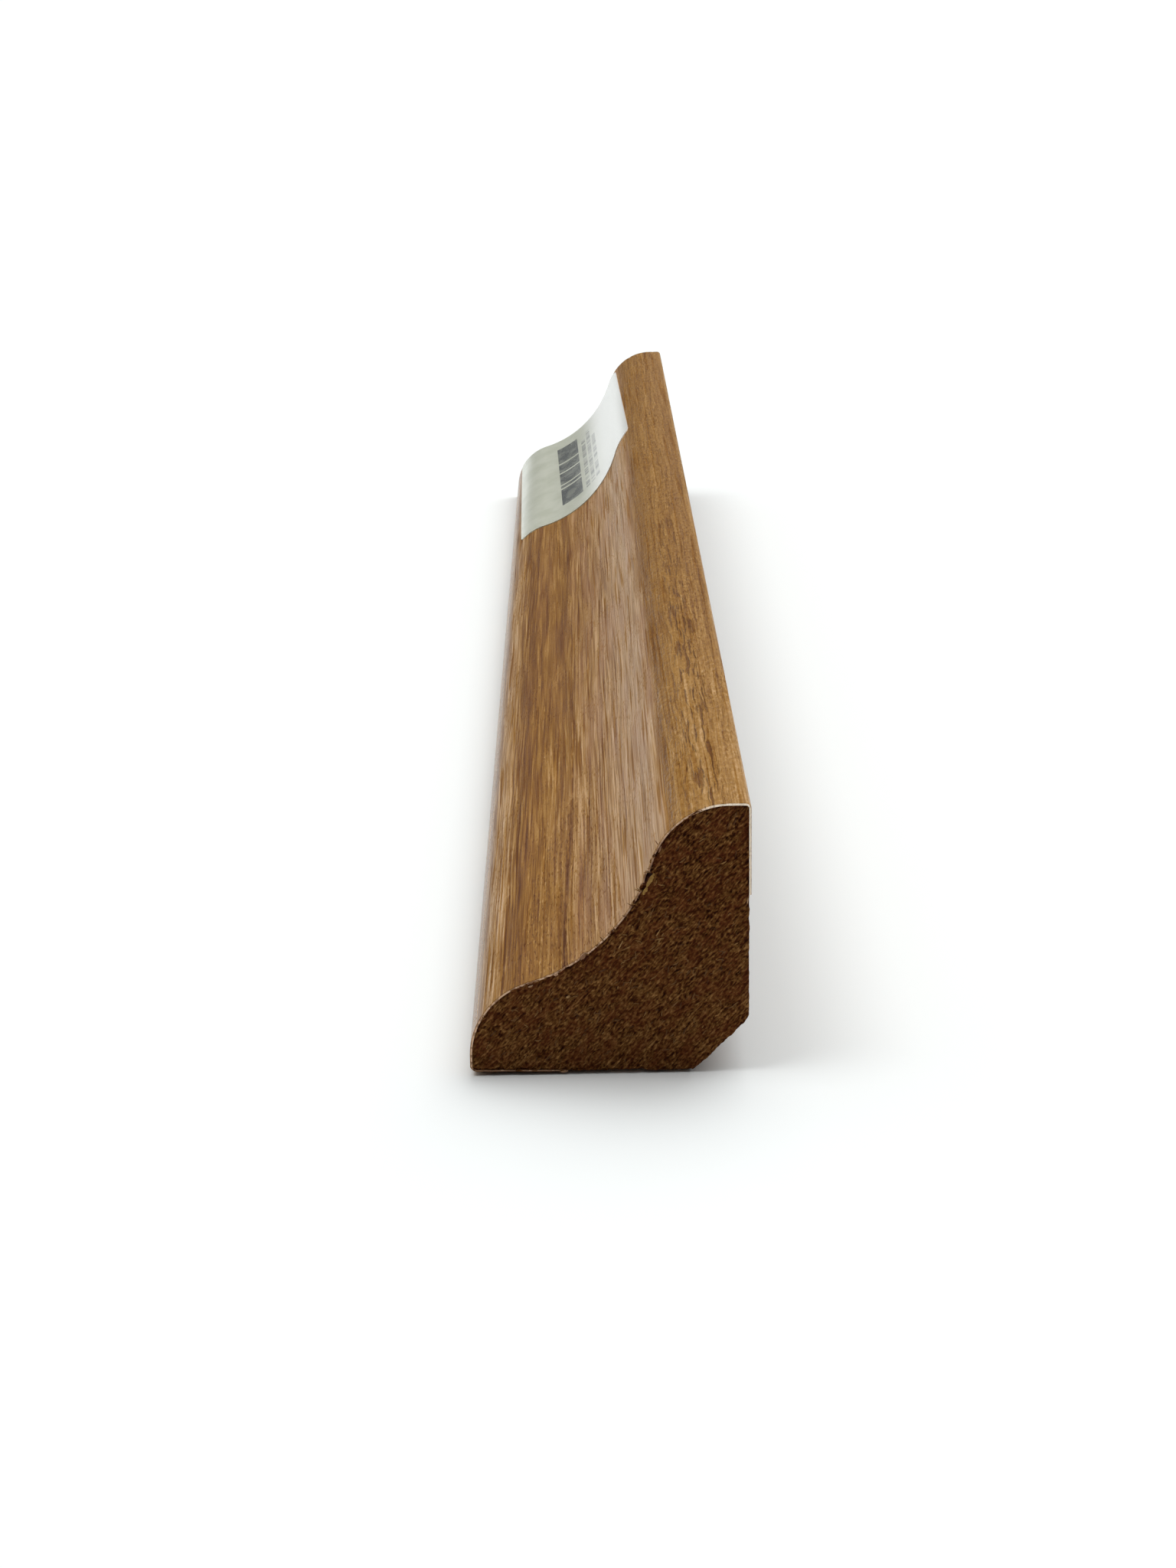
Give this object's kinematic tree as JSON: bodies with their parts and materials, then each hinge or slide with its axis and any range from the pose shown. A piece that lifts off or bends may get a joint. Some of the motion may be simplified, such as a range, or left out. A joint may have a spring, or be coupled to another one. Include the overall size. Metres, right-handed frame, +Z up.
{
  "type": "scotia moulding",
  "caption": "Short cut length of scotia moulding: a foil-wrapped fibreboard bar with a round-nosed hollow face and a cut-off heel, with a small sticker in the hollow.",
  "frame": {"origin": "centre of the moulding's footprint, on the plane that it lies on", "axes": "+Y along the moulding, away from the near sawn end; +X from the toe to the back that goes against the skirting; +Z up, from the underside that lies on the floor"},
  "size_m": [0.019, 0.2, 0.019],
  "materials": {
    "fibreboard": "matte",
    "wood_grain_foil": "satin",
    "sticker_paper": "satin"
  },
  "bodies": {
    "root": {"fibreboard_core": "fibreboard", "foil_wrap": "wood_grain_foil", "paper_sticker": "sticker_paper"}
  },
  "joints": []
}
